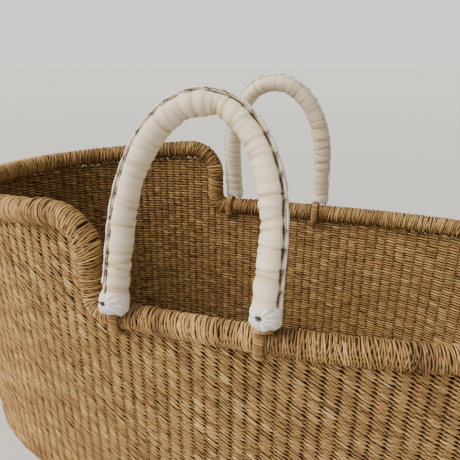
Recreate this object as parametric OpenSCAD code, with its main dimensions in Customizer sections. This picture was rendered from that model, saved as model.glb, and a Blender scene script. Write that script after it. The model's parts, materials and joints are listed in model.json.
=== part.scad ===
// Woven grass bassinet with a raised head end and two swinging carry handles,
// standing on a wooden rocking stand that has four fold-away stop feet.
// Millimetres. +Z is up, X runs along the basket with the head end at -X, and the
// origin is on the floor under the middle of the basket. "near" is the -Y side.

/* [Basket] */
// Half of the rim's length, measured to the middle of the rim
rim_half_length = 407; // [380:1:440]
// Half of the rim's width, measured to the middle of the rim
rim_half_width = 200; // [185:1:215]
// How square the oval plan is: 2 is an ellipse
plan_power = 2.47; // [2.2:0.01:2.8]
// Height of the low rim's middle above the basket's underside
basket_height = 280; // [250:1:310]
// How far the head rim stands above the low rim at the step
head_rise = 100; // [85:1:120]
// Fall of the head rim from the step to the head end, per millimetre
head_fall = 0.084; // [0:0.001:0.1]
// Rise of the low rim at the very end of the foot
foot_rise = 8.5; // [0:0.5:12]
// Where the rim steps down from the head, along the length
step_x = -134; // [-150:1:-130]
// Radius of the step's upper bend
step_upper_bend = 42; // [30:1:48]
// Radius of the step's lower bend
step_lower_bend = 20; // [16:1:24]
// Radius of the bound rim
rim_radius = 13.2; // [12:0.1:14]
// Radius of the grass hoop inside the rim's binding
rim_core_radius = 9.6; // [8:0.1:10.5]
// Thickness of the woven wall
wall_thickness = 7; // [5:0.5:8]
// How much narrower the wall is at the bottom, each side
wall_taper = 2.5; // [0:0.5:8]
// Radius where the wall turns into the base
base_bend = 35; // [28:1:45]

/* [Mattress] */
// Thickness of the mattress with its cover on
mattress_thickness = 38; // [25:1:44]
// Gap between the mattress and the wall
mattress_gap = 15; // [12:1:20]
// Thickness of the fitted cover
cover_thickness = 1.5; // [1:0.1:2.5]

/* [Handles] */
// Middle of both handles, along the length
handle_x = -30; // [-32:1:-20]
// Distance between a handle's two legs at the rim
handle_span = 147; // [130:1:150]
// Height of a handle's middle line over the rim's middle
handle_height = 207.5; // [190:0.5:230]
// Radius of a covered handle
handle_radius = 13; // [12.5:0.5:15.5]
// Radius of the grass bundle inside a handle
handle_core_radius = 10.5; // [9:0.5:12]
// Lean of the near handle towards the middle of the basket, in degrees
near_lean = 18; // [0:1:25]
// Lean of the far handle towards the middle of the basket, in degrees
far_lean = 12; // [0:1:25]
// Outer radius of the leather end caps
cap_radius = 14.4; // [13.8:0.1:16.6]
// Height of the leather end caps
cap_height = 18; // [16:1:26]
// Width of the bound loops that hold the handles to the rim
loop_width = 10.4; // [8:0.2:12]

/* [Stand] */
// Height of the slats' top faces, where the basket rests
slat_top = 300; // [280:5:310]
// Distance of each end frame from the middle
frame_x = 250; // [230:1:270]
// Thickness of the end frames' timber
frame_thickness = 24; // [20:1:28]
// Radius of the rockers' curve
rocker_radius = 1100; // [900:10:1400]
// Depth of the rockers
rocker_depth = 46; // [40:1:54]
// Half of a rocker's length, to the middle of its rounded end
rocker_half = 250; // [240:1:280]
// Width of the legs
leg_width = 40; // [34:1:46]
// Half of the distance between the legs' middles at the rocker
leg_foot_y = 182; // [170:1:190]
// Thickness of the side rails
rail_thickness = 22; // [18:1:26]
// Depth of the side rails
rail_depth = 56; // [50:1:64]
// How far the side rails stand above the slats
rail_lip = 26; // [18:1:32]
// Half of the side rails' length
rail_half = 285; // [280:1:300]
// Gap between the basket's wall and each side rail
rail_gap = 9; // [6:1:14]
// Slat width
slat_width = 52; // [40:1:60]
// Slat thickness
slat_thickness = 12; // [10:1:15]
// Distance of each stop's pivot from the middle of the rocker
stop_y = 226; // [215:1:235]
// Thickness of the stop feet
stop_thickness = 12; // [10:1:15]
// How far each stop leans past its pivot, so that load locks it
stop_overcentre = 9; // [6:1:14]
// Radius of the pivot bolts
pivot_radius = 4; // [3:0.5:5]

/* [Hidden] */

GRASS = "burlywood";
GRASS_DARK = "peru";
LEATHER = "ivory";
CAP_LEATHER = "white";
BEECH = "navajowhite";
STEEL = "silver";
COTTON = "whitesmoke";
RUBBER = "dimgray";

seat = 0.3;                 // gap between pieces that bear on each other
rim_z = slat_top + basket_height;
rim_sides = 12;
bend_steps = 4;             // straight lengths that make up each bend of the rim's step
handle_sides = 14;
near = -1;
far = 1;
head = -1;
foot = 1;

// ---------- plan and rim curves ----------

function sgn(v) = v < 0 ? -1 : 1;
function unit(v) = v / norm(v);

// Point of the oval plan with half axes a and b, at parameter t degrees
function plan_point(t, a, b) = [
    a * sgn(cos(t)) * pow(abs(cos(t)), 2 / plan_power),
    b * sgn(sin(t)) * pow(abs(sin(t)), 2 / plan_power)
];

// Plan parameter, 0 to 180, of the point whose x is given on the rim's oval
function plan_angle(x) = acos(sgn(x) * pow(min(1, abs(x) / rim_half_length), plan_power / 2));

function plan_y(x) = rim_half_width
    * pow(max(0, 1 - pow(abs(x) / rim_half_length, plan_power)), 1 / plan_power);

// Outward horizontal normal of the rim's oval at x, on side s (-1 near, 1 far)
function plan_normal(x, s) = unit([
    sgn(x) * pow(abs(x) / rim_half_length, plan_power - 1) / rim_half_length,
    s * pow(plan_y(x) / rim_half_width, plan_power - 1) / rim_half_width,
    0
]);

// Heights above the low rim's middle
function head_z(x) = head_rise + head_fall * (x - step_x);
function low_z(x) = foot_rise * pow(max(0, x) / rim_half_length, 2);

upper_x = step_x - step_upper_bend;
lower_x = step_x + step_lower_bend;
upper_z = head_z(upper_x) - step_upper_bend;

// [x, z] along half of the rim, from the head end to the foot end, drawn inset by d towards the wall
function rim_profile(d, head_steps, turn_steps, low_steps) = concat(
    [for (i = [0:head_steps - 1])
        let (t = 180 - (180 - plan_angle(upper_x)) * i / head_steps,
             x = plan_point(t, rim_half_length, rim_half_width)[0])
        [x, head_z(x) - d]],
    [for (i = [0:turn_steps])
        let (w = 90 * i / turn_steps)
        [upper_x + (step_upper_bend - d) * sin(w), upper_z + (step_upper_bend - d) * cos(w)]],
    [for (i = [0:turn_steps])
        let (w = 90 * i / turn_steps)
        [lower_x - (step_lower_bend + d) * cos(w) + (i == 0 ? 0.3 : 0),
         step_lower_bend - (step_lower_bend + d) * sin(w)]],
    [for (i = [1:low_steps])
        let (t = plan_angle(lower_x) * (1 - i / low_steps),
             x = plan_point(t, rim_half_length, rim_half_width)[0])
        [x, low_z(x) - d]]
);

// Whole rim line, round the far side and back along the near side, open by a small joint at the head end
function rim_line() =
    let (half = rim_profile(0, 15, bend_steps, 26), n = len(half))
    concat(
        [for (i = [0:n - 1]) rim_station(half[i], far)],
        [for (i = [n - 2:-1:0]) rim_station(half[i], near)]
    );

// [point, outward normal] of the rim line
joint_gap = 0.6;
function rim_station(p, s) =
    let (y = max(plan_y(p[0]), joint_gap))
    [[p[0], s * y, rim_z + p[1]], plan_normal(p[0], s)];

// ---------- swept solids ----------

function ring(centre, across, up, r, sides) = [
    for (i = [0:sides - 1])
        centre + across * r * cos(360 * i / sides) + up * r * sin(360 * i / sides)
];

// Rings along stations of [point, normal]: each ring is square to the line
function rings(stations, r, sides) =
    let (n = len(stations))
    [for (i = [0:n - 1])
        let (
            before = stations[max(i - 1, 0)][0],
            after = stations[min(i + 1, n - 1)][0],
            along = unit(after - before),
            raw = stations[i][1] - along * (stations[i][1] * along),
            across = unit(raw)
        )
        ring(stations[i][0], across, cross(along, across), r, sides)];

function flat(lists) = [for (l = lists) for (p = l) p];

// Triangles between ring i and ring i + 1 of a grid with m points a ring
function band(i, m, offset, turned) = [
    for (k = [0:m - 1])
        let (a = offset + i * m + k, b = offset + i * m + (k + 1) % m, c = a + m, d = b + m)
        each (turned ? [[a, c, b], [b, c, d]] : [[a, b, c], [b, d, c]])
];

// Solid rod through rings
module rod(r) {
    m = len(r[0]);
    n = len(r);
    polyhedron(flat(r), concat(
        [for (i = [0:n - 2]) each band(i, m, 0, false)],
        [[for (k = [m - 1:-1:0]) k]],
        [[for (k = [0:m - 1]) (n - 1) * m + k]]
    ));
}

// Tube with open ends, between outer and inner rings
module sleeve(outer, inner) {
    m = len(outer[0]);
    n = len(outer);
    inside = n * m;
    last = (n - 1) * m;
    polyhedron(flat(concat(outer, inner)), concat(
        [for (i = [0:n - 2]) each band(i, m, 0, false)],
        [for (i = [0:n - 2]) each band(i, m, inside, true)],
        [for (k = [0:m - 1])
            let (a = k, b = (k + 1) % m)
            each [[a, inside + a, b], [b, inside + a, inside + b]]],
        [for (k = [0:m - 1])
            let (a = last + k, b = last + (k + 1) % m)
            each [[a, b, inside + a], [b, inside + b, inside + a]]]
    ));
}

// Ring-shaped solid whose cross-sections close on themselves
module hoop(sections) {
    m = len(sections[0]);
    n = len(sections);
    polyhedron(flat(sections), [
        for (i = [0:n - 1]) for (k = [0:m - 1])
            let (a = i * m + k, b = i * m + (k + 1) % m,
                 c = ((i + 1) % n) * m + k, d = ((i + 1) % n) * m + (k + 1) % m)
            each [[a, b, c], [b, d, c]]
    ]);
}

// ---------- basket ----------

wall_top_drop = rim_radius + seat;
leg_half = handle_span / 2;
notch_half = loop_width / 2 + 1.1;
notch_depth = 9.5;

// Where the two loops of a handle pass round the rim: the loops stand a little off the legs' middles
function loop_shift(side, end) = side == near ? (end == head ? 0 : -4) : (end == head ? -4 : -5);
function loop_x(side) = [for (end = [head, foot]) handle_x + end * leg_half + loop_shift(side, end)];

// [x, top z] of the wall along one side, with a notch under each handle loop
function wall_edge(side) =
    let (edge = rim_profile(wall_top_drop, 8, bend_steps, 14), loops = loop_x(side))
    concat(
        [for (p = edge) if (p[0] < loops[0] - notch_half - 0.8) p],
        notch_edge(loops[0]),
        [for (p = edge) if (p[0] > loops[0] + notch_half + 4 && p[0] < loops[1] - notch_half - 4) p],
        notch_edge(loops[1]),
        [for (p = edge) if (p[0] > loops[1] + notch_half + 4) p]
    );

function notch_edge(x) =
    let (top = -wall_top_drop)
    [[x - notch_half - 0.6, top], [x - notch_half, top - notch_depth],
     [x + notch_half, top - notch_depth], [x + notch_half + 0.6, top]];

// Cross-section of the wall at plan parameter t with its top at height z
upright_steps = 3;
bend_angles = [0, 30, 60, 90];
function wall_section(t, z) =
    let (
        half = wall_thickness / 2,
        turn_z = base_bend - basket_height,
        outer_line = [for (i = [0:upright_steps - 1])
            let (f = i / upright_steps) [half - wall_taper * f, z + (turn_z - z) * f]],
        outer_bend = [for (w = bend_angles)
            [half - wall_taper - base_bend * (1 - cos(w)), turn_z - base_bend * sin(w)]],
        inner_bend = [for (i = [len(bend_angles) - 1:-1:0])
            let (w = bend_angles[i], r = base_bend - wall_thickness)
            [-half - wall_taper - r * (1 - cos(w)), turn_z - r * sin(w)]],
        inner_line = [for (i = [upright_steps - 1:-1:0])
            let (f = i / upright_steps) [-half - wall_taper * f, z + (turn_z - z) * f]],
        outline = concat(outer_line, outer_bend, inner_bend, inner_line)
    )
    [for (p = outline)
        let (q = plan_point(t, rim_half_length + p[0], rim_half_width + p[0]))
        [q[0], q[1], rim_z + p[1]]];

module side_wall() {
    far_edge = wall_edge(far);
    near_edge = wall_edge(near);
    color(GRASS) hoop(concat(
        [for (i = [len(far_edge) - 1:-1:0]) wall_section(plan_angle(far_edge[i][0]), far_edge[i][1])],
        [for (i = [1:len(near_edge) - 2])
            wall_section(360 - plan_angle(near_edge[i][0]), near_edge[i][1])]
    ));
}

panel_inset = base_bend + wall_taper - wall_thickness / 2 + 1.5;

module oval(inset, steps) {
    polygon([for (i = [0:steps - 1])
        plan_point(360 * i / steps, rim_half_length - inset, rim_half_width - inset)]);
}

module base_panel() {
    color(GRASS_DARK) translate([0, 0, slat_top])
        linear_extrude(wall_thickness) oval(panel_inset, 64);
}

module rim_core() {
    color(GRASS_DARK) rod(rings(rim_line(), rim_core_radius, 8));
}

module rim_binding() {
    line = rim_line();
    color(GRASS) sleeve(
        rings(line, rim_radius, rim_sides),
        rings(line, (rim_core_radius + seat) / cos(180 / rim_sides), rim_sides)
    );
}

// ---------- mattress ----------

cover_inset = wall_thickness / 2 + wall_taper + mattress_gap;
foam_inset = cover_inset + cover_thickness + seat;
floor_z = slat_top + wall_thickness + seat;
foam_bottom_inset = foam_inset + 22;
foam_height = mattress_thickness - cover_thickness - seat;
foam_edge = 14;             // height over which the foam's lower edge is trimmed to the basket's bend
hem_z = foam_edge + 3;      // height of the cover's hem over the basket's floor

module mattress_foam() {
    color(COTTON) translate([0, 0, floor_z]) hull() {
        translate([0, 0, foam_edge]) linear_extrude(foam_height - foam_edge) oval(foam_inset, 48);
        linear_extrude(1) oval(foam_bottom_inset, 48);
    }
}

// Fitted cover: a cap over the foam, open underneath
module mattress_cover() {
    inner_top = foam_height + seat;
    color("white") translate([0, 0, floor_z + hem_z]) difference() {
        linear_extrude(inner_top + cover_thickness - hem_z) oval(cover_inset, 48);
        translate([0, 0, -1]) linear_extrude(inner_top - hem_z + 1) oval(foam_inset - seat, 48);
    }
}

// ---------- handles ----------

loop_bore = rim_radius + 1;
loop_outer = loop_bore + 5.4;
leg_offset = (loop_bore + loop_outer) / 2;   // legs stand this far outside the rim's middle
straight_top = 85;                           // height over the rim where the legs turn into the arch
arch_power = 2.13;
sleeve_low = 20.5;                           // lower end of the leather sleeve over the rim's middle
core_low = sleeve_low + 9;

// Underside of each end cap over the rim's middle
function cap_low(side, end) = side == near ? (end == head ? 6 : 16) : 9;

// Middle line of a handle in its own plane, [across, up], starting at height low
function arch_point(w) = [
    -leg_half * sgn(cos(w)) * pow(abs(cos(w)), 2 / arch_power),
    straight_top + (handle_height - straight_top) * pow(sin(w), 2 / arch_power)
];
function handle_line(low) = concat(
    [[-leg_half, low], [-leg_half, (low + straight_top) / 2]],
    [for (w = [0:12:180]) arch_point(w)],
    [[leg_half, (low + straight_top) / 2], [leg_half, low]]
);
function handle_stations(low) = [for (p = handle_line(low)) [[p[0], 0, p[1]], [0, -1, 0]]];

// Puts a handle's own frame on the rim: the swing axis passes through both loops
swing_x = [handle_x - leg_half, handle_x + leg_half];
axis_y = (plan_y(swing_x[0]) + plan_y(swing_x[1])) / 2;
axis_turn = atan2(plan_y(swing_x[1]) - plan_y(swing_x[0]), handle_span);

module on_rim(side) {
    lean = side == near ? near_lean : far_lean;
    translate([handle_x, side * axis_y, rim_z])
        rotate([0, 0, side * axis_turn])
            rotate([side * lean, 0, 0])
                children();
}

// Space round the rim that a handle's pieces keep out of as they swing
module rim_space(radius) {
    rotate([0, 90, 0]) cylinder(h = 2 * handle_span, r = radius, center = true, $fn = 96);
}

// Moves a handle's pieces out to the plane of its legs
module leg_plane(side) {
    translate([0, side * leg_offset, 0]) children();
}

module handle_core(side) {
    color(GRASS_DARK) on_rim(side) leg_plane(side)
        rod(rings(handle_stations(core_low), handle_core_radius, 8));
}

module handle_sleeve(side) {
    stations = handle_stations(sleeve_low);
    color(LEATHER) on_rim(side) leg_plane(side) sleeve(
        rings(stations, handle_radius, handle_sides),
        rings(stations, handle_core_radius + seat, handle_sides)
    );
}

seam_width = 3;
seam_height = 2;
seam_low = 36;

// Seam strip along the outside of the arch
module handle_seam(side) {
    stations = handle_stations(seam_low);
    n = len(stations);
    mids = [for (i = [0:n - 1])
        let (
            along = unit(stations[min(i + 1, n - 1)][0] - stations[max(i - 1, 0)][0]),
            out = cross([0, -1, 0], along)
        )
        [stations[i][0], out]];
    color(CAP_LEATHER) on_rim(side) leg_plane(side) rod([for (s = mids)
        let (base = s[0] + s[1] * (handle_radius + seat / 2), top = base + s[1] * seam_height,
             half = [0, seam_width / 2, 0])
        [base - half, base + half, top + half, top - half]]);
}

// Leather end cap round one leg: it drapes over the outside of the rim
module leg_cap(side, end) {
    low = cap_low(side, end);
    color(CAP_LEATHER) on_rim(side) difference() {
        leg_plane(side) translate([end * leg_half, 0, 0]) difference() {
            translate([0, 0, low]) cylinder(h = cap_height, r = cap_radius, $fn = 48);
            translate([0, 0, sleeve_low - seat]) cylinder(h = 2 * cap_height, r = handle_radius + seat, $fn = 48);
            translate([loop_shift(side, end), 0, -5])
                cylinder(h = 3 * cap_height, r = neck_radius + seat, $fn = 32);
        }
        rim_space(rim_radius + 1.8);
        translate([end * leg_half + loop_shift(side, end), 0, 0]) rotate([0, 90, 0])
            cylinder(h = loop_width + 2 * seat, r = loop_outer + seat, center = true, $fn = 72);
    }
}

neck_radius = 5;
collar_height = 4.5;
collar_radius = 9.5;

// Cross-section of the loop's ring: a bar with its corners taken off
module loop_section() {
    cut = 1.6;
    half = loop_width / 2;
    polygon([
        [loop_bore + cut, -half], [loop_outer - cut, -half], [loop_outer, -half + cut],
        [loop_outer, half - cut], [loop_outer - cut, half], [loop_bore + cut, half],
        [loop_bore, half - cut], [loop_bore, -half + cut]
    ]);
}

// Bound loop that passes round the rim and up into the leg's end
module leg_loop(side, end) {
    low = cap_low(side, end);
    color(GRASS) on_rim(side) union() {
        translate([end * leg_half + loop_shift(side, end), 0, 0]) {
            rotate([0, 90, 0]) rotate_extrude($fn = 72) loop_section();
            difference() {
                leg_plane(side) cylinder(h = core_low - 1, r = neck_radius, $fn = 32);
                rim_space(loop_bore + 0.3);
            }
        }
        // the near foot end shows a few turns of binding under its cap
        if (low > sleeve_low - collar_height) difference() {
            leg_plane(side) translate([end * leg_half, 0, low - collar_height - seat])
                cylinder(h = collar_height, r = collar_radius, $fn = 48);
            rim_space(rim_radius + 1.8);
        }
    }
}

// Thong knots that close the end caps
module handle_knots(side) {
    color("saddlebrown") on_rim(side) leg_plane(side) for (end = [head, foot])
        translate([end * leg_half, side * cap_radius, cap_low(side, end) + cap_height / 2])
            rotate([-side * 90, 0, 0]) cylinder(h = 2.2, r = 2.4, $fn = 24);
}

// ---------- stand ----------

rail_y = rim_half_width + wall_thickness / 2 + rail_gap + rail_thickness / 2;
rail_top = slat_top + rail_lip;
rail_bottom = rail_top - rail_depth;
rocker_mid = rocker_radius - rocker_depth / 2;
rocker_end_angle = asin(rocker_half / rocker_mid);
leg_bottom_z = 20;
leg_lean = atan2(rail_y - leg_foot_y, rail_bottom - leg_bottom_z);
cleat = 16;
slat_pitch = 112;
bolt_head = 7;
stop_x = frame_x - frame_thickness / 2 - stop_thickness / 2 - 0.6;
pivot_z = rocker_radius - sqrt(rocker_mid * rocker_mid - stop_y * stop_y);
pad_height = 5;
pad_half = 12;
stop_eye = 13;              // radius of the stops' round upper end
running = 0.06;             // radial clearance of the pivots

function leg_middle(z) = leg_foot_y + (z - leg_bottom_z) * tan(leg_lean);

// Stands a drawing of [y, z] up across the stand, centred on x
module across(x, thickness) {
    translate([x - thickness / 2, 0, 0])
        rotate([90, 0, 90]) linear_extrude(thickness) children();
}

module rocker_outline() {
    intersection() {
        translate([0, rocker_radius]) difference() {
            circle(r = rocker_radius, $fn = 720);
            circle(r = rocker_radius - rocker_depth, $fn = 720);
        }
        translate([0, rocker_radius]) polygon([
            [0, 0],
            2 * rocker_radius * [-sin(rocker_end_angle), -cos(rocker_end_angle)],
            2 * rocker_radius * [sin(rocker_end_angle), -cos(rocker_end_angle)]
        ]);
    }
    for (s = [-1, 1])
        translate([s * rocker_half, rocker_radius - rocker_mid * cos(rocker_end_angle)])
            circle(r = rocker_depth / 2 - 0.8, $fn = 64);
}

module rocker(end) {
    color(BEECH) difference() {
        across(end * frame_x, frame_thickness) rocker_outline();
        for (s = [near, far]) {
            translate([end * frame_x, s * stop_y, pivot_z]) rotate([0, 90, 0])
                cylinder(h = 2 * frame_thickness, r = pivot_radius + running, center = true, $fn = 48);
            leg_axis(end, s, -20) cylinder(h = 100, r = 3 + seat, $fn = 32);
        }
    }
}

// A frame on a leg's axis, at height z over the leg's foot
module leg_axis(end, s, z) {
    translate([end * frame_x, s * leg_foot_y, leg_bottom_z])
        rotate([-s * leg_lean, 0, 0]) translate([0, 0, z]) children();
}

module leg(end, s) {
    half = leg_width / 2 / cos(leg_lean);
    color(BEECH) difference() {
        across(end * frame_x, frame_thickness) polygon([
            [s * (leg_middle(leg_bottom_z) - half), leg_bottom_z],
            [s * (leg_middle(leg_bottom_z) + half), leg_bottom_z],
            [s * (leg_middle(rail_bottom) + half), rail_bottom],
            [s * (leg_middle(rail_bottom) - half), rail_bottom]
        ]);
        translate([end * frame_x, 0, rocker_radius]) rotate([0, 90, 0]) difference() {
            cylinder(h = 2 * frame_thickness, r = 2 * rocker_radius, center = true, $fn = 720);
            cylinder(h = 3 * frame_thickness, r = rocker_radius - rocker_depth, center = true, $fn = 720);
        }
        leg_axis(end, s, -20) cylinder(h = 100, r = 3 + seat, $fn = 32);
        translate([end * frame_x, s * rail_y, rail_bottom - 50]) cylinder(h = 60, r = 3 + seat, $fn = 32);
    }
}

cross_top = rail_bottom - 30;
cross_depth = 44;

module cross_rail(end) {
    low = cross_top - cross_depth;
    inner = leg_width / 2 / cos(leg_lean);
    color(BEECH) across(end * frame_x, frame_thickness - 4) polygon([
        [-(leg_middle(low) - inner), low],
        [leg_middle(low) - inner, low],
        [leg_middle(cross_top) - inner, cross_top],
        [-(leg_middle(cross_top) - inner), cross_top]
    ]);
}

// Rectangle from [0, 0] to [w, h] with round corners
module round_rectangle(w, h, r) {
    translate([r, 0]) square([w - 2 * r, h]);
    translate([0, r]) square([w, h - 2 * r]);
    for (x = [r, w - r], y = [r, h - r]) translate([x, y]) circle(r = r, $fn = 48);
}

module side_rail(s) {
    color(BEECH) difference() {
        translate([-rail_half, s * rail_y, 0]) rotate([90, 0, 90]) linear_extrude(2 * rail_half)
            translate([-rail_thickness / 2, rail_bottom]) round_rectangle(rail_thickness, rail_depth, 6);
        for (end = [head, foot]) translate([end * frame_x, s * rail_y, rail_bottom - 1]) {
            cylinder(h = rail_depth + 2, r = 3 + seat, $fn = 32);
            translate([0, 0, rail_depth - 4]) cylinder(h = 10, r = bolt_head + seat, $fn = 32);
        }
    }
}

module side_cleat(s) {
    inner_face = rail_y - rail_thickness / 2;
    color(BEECH) translate([-rail_half + 18, s > 0 ? inner_face - cleat : -inner_face,
                            slat_top - slat_thickness - cleat])
        cube([2 * (rail_half - 18), cleat, cleat]);
}

module slat(i) {
    half = rail_y - rail_thickness / 2 - 0.5;
    color(BEECH) difference() {
        translate([(i - 3) * slat_pitch - slat_width / 2, -half, slat_top - slat_thickness])
            cube([slat_width, 2 * half, slat_thickness - 0.01]);
        slat_screw_places(i) translate([0, 0, -slat_thickness - 1])
            cylinder(h = 2 * slat_thickness, r = 2 + seat, $fn = 24);
        slat_screw_places(i) translate([0, 0, -3]) cylinder(h = 4, r = 4 + seat, $fn = 24);
    }
}

module slat_screw_places(i) {
    for (s = [near, far])
        translate([(i - 3) * slat_pitch, s * (rail_y - rail_thickness / 2 - cleat / 2), slat_top])
            children();
}

module slat_screws() {
    color(STEEL) for (i = [1:5]) slat_screw_places(i) {
        translate([0, 0, -2.8]) cylinder(h = 2, r = 4, $fn = 24);
        translate([0, 0, -slat_thickness + 0.05]) cylinder(h = slat_thickness - 2.5, r = 2, $fn = 24);
    }
}

module stretcher() {
    length = 2 * (frame_x - (frame_thickness - 4) / 2) - 0.1;
    color(BEECH) translate([0, 0, cross_top - cross_depth / 2]) rotate([0, 90, 0])
        cylinder(h = length, d = 24, center = true, $fn = 48);
}

// Bolts that hold the legs to the rockers and to the side rails
module leg_bolts() {
    color(STEEL) for (end = [head, foot], s = [near, far]) {
        leg_axis(end, s, -2) cylinder(h = 70, r = 3, $fn = 32);
        translate([end * frame_x, s * rail_y, 0]) {
            translate([0, 0, rail_top - 4.5]) cylinder(h = 3, r = bolt_head, $fn = 32);
            translate([0, 0, rail_bottom - 45]) cylinder(h = rail_depth + 42, r = 3, $fn = 32);
        }
    }
}

module pivot_bolts() {
    inner_end = frame_thickness / 2 + stop_thickness + 8;
    color(STEEL) for (end = [head, foot], s = [near, far])
        translate([end * frame_x, s * stop_y, pivot_z]) rotate([0, end * 90, 0]) {
            translate([0, 0, -inner_end])
                cylinder(h = inner_end + frame_thickness / 2 + 1, r = pivot_radius, $fn = 48);
            translate([0, 0, frame_thickness / 2 + 0.2]) cylinder(h = 3.4, r = 8, $fn = 48);
        }
}

module pivot_nuts() {
    start = frame_thickness / 2 + stop_thickness + 1;
    color(STEEL) for (end = [head, foot], s = [near, far])
        translate([end * frame_x, s * stop_y, pivot_z]) rotate([0, end * 90, 0])
            translate([0, 0, -start - 5.4]) difference() {
                cylinder(h = 5.4, r = 7.5, $fn = 6);
                translate([0, 0, -1]) cylinder(h = 8, r = pivot_radius + running, $fn = 48);
            }
}

// Stop foot: a short lever that swings down beside the rocker's end
module stop(end, s) {
    color(BEECH) difference() {
        across(end * stop_x, stop_thickness) {
            translate([s * stop_y, pivot_z]) circle(r = stop_eye, $fn = 48);
            polygon([
                [s * (stop_y - stop_eye), pivot_z],
                [s * (stop_y + stop_eye), pivot_z],
                [s * (stop_y + stop_overcentre + pad_half - 1), pad_height],
                [s * (stop_y + stop_overcentre - pad_half + 1), pad_height]
            ]);
        }
        translate([end * stop_x, s * stop_y, pivot_z]) rotate([0, 90, 0])
            cylinder(h = 2 * stop_thickness, r = pivot_radius + running, center = true, $fn = 48);
    }
}

module stop_pad(end, s) {
    color(RUBBER) translate([end * stop_x, s * (stop_y + stop_overcentre), pad_height / 2])
        cube([stop_thickness, 2 * pad_half, pad_height], center = true);
}

// ---------- nodes ----------

base_panel();
side_wall();
rim_core();
rim_binding();
mattress_foam();
mattress_cover();
handle_core(near);  // near_handle_core
handle_sleeve(near);  // near_handle_sleeve
handle_seam(near);  // near_handle_seam
handle_knots(near);  // near_handle_knots
leg_cap(near, head);  // near_head_cap
leg_cap(near, foot);  // near_foot_cap
leg_loop(near, head);  // near_head_loop
leg_loop(near, foot);  // near_foot_loop
handle_core(far);  // far_handle_core
handle_sleeve(far);  // far_handle_sleeve
handle_seam(far);  // far_handle_seam
handle_knots(far);  // far_handle_knots
leg_cap(far, head);  // far_head_cap
leg_cap(far, foot);  // far_foot_cap
leg_loop(far, head);  // far_head_loop
leg_loop(far, foot);  // far_foot_loop
rocker(head);  // head_rocker
rocker(foot);  // foot_rocker
leg(head, near);  // head_near_leg
leg(head, far);  // head_far_leg
leg(foot, near);  // foot_near_leg
leg(foot, far);  // foot_far_leg
cross_rail(head);  // head_cross_rail
cross_rail(foot);  // foot_cross_rail
side_rail(near);  // near_side_rail
side_rail(far);  // far_side_rail
side_cleat(near);  // near_cleat
side_cleat(far);  // far_cleat
slat(1);  // slat_1
slat(2);  // slat_2
slat(3);  // slat_3
slat(4);  // slat_4
slat(5);  // slat_5
stretcher();
leg_bolts();
slat_screws();
pivot_bolts();
pivot_nuts();
stop(head, near);  // head_near_stop
stop(head, far);  // head_far_stop
stop(foot, near);  // foot_near_stop
stop(foot, far);  // foot_far_stop
stop_pad(head, near);  // head_near_pad
stop_pad(head, far);  // head_far_pad
stop_pad(foot, near);  // foot_near_pad
stop_pad(foot, far);  // foot_far_pad
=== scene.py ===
"""Looks of a twined grass bassinet with a raised head end, leather-covered carry handles and a beech
rocking stand. Laid out as an add-on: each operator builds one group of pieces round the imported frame."""

import json
import math

import bmesh
import bpy
import numpy as np
from bpy.props import FloatProperty, FloatVectorProperty, IntProperty, PointerProperty
from mathutils import Matrix, Vector


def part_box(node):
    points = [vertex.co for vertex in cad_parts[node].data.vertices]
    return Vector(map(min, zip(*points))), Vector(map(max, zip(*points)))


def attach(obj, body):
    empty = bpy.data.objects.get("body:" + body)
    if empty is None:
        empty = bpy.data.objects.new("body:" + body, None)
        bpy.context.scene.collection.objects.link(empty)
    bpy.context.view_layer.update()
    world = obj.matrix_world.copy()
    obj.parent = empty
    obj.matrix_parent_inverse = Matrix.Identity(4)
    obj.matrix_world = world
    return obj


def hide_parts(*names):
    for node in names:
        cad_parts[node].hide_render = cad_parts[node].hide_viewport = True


bl_info = {
    "name": "Grass Bassinet",
    "version": (1, 0, 0),
    "blender": (4, 5, 0),
    "location": "View3D > Sidebar > Bassinet",
    "description": "Builds a twined grass bassinet on a rocking stand round its frame",
    "category": "Add Mesh",
}

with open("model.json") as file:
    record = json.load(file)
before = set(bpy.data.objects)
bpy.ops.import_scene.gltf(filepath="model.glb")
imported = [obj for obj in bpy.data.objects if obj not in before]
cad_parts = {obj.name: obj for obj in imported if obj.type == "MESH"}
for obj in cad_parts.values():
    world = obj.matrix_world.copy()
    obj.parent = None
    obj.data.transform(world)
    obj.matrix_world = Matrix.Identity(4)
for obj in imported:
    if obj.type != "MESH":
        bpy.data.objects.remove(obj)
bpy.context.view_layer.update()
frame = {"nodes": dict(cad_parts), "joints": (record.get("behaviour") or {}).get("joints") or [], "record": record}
JOINTS = {joint["name"]: joint for joint in frame["joints"]}
NODE_BODY = {node: body for body, nodes in frame["record"]["behaviour"]["bodies"].items() for node in nodes}
MM = 0.001
RIM_RADIUS = 13.2 * MM
RIM_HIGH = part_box("rim_binding")[1]
SWING = {"near": JOINTS["near_handle_swing"], "far": JOINTS["far_handle_swing"]}
SIDES = {"near": -1, "far": 1}
ENDS = {"head": -1, "foot": 1}


# ---------- sizes and colours ----------

def length(name, description, default):
    return FloatProperty(name=name, description=description, default=default, precision=4, unit="LENGTH")


def angle(name, description, default):
    return FloatProperty(name=name, description=description, default=math.radians(default), subtype="ANGLE")


def number(name, description, default):
    return FloatProperty(name=name, description=description, default=default, precision=3)


def count(name, description, default):
    return IntProperty(name=name, description=description, default=default, min=1)


def colour(name, description, default):
    return FloatVectorProperty(name=name, description=description, default=default, subtype="COLOR",
                               size=3, min=0, max=1)


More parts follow.
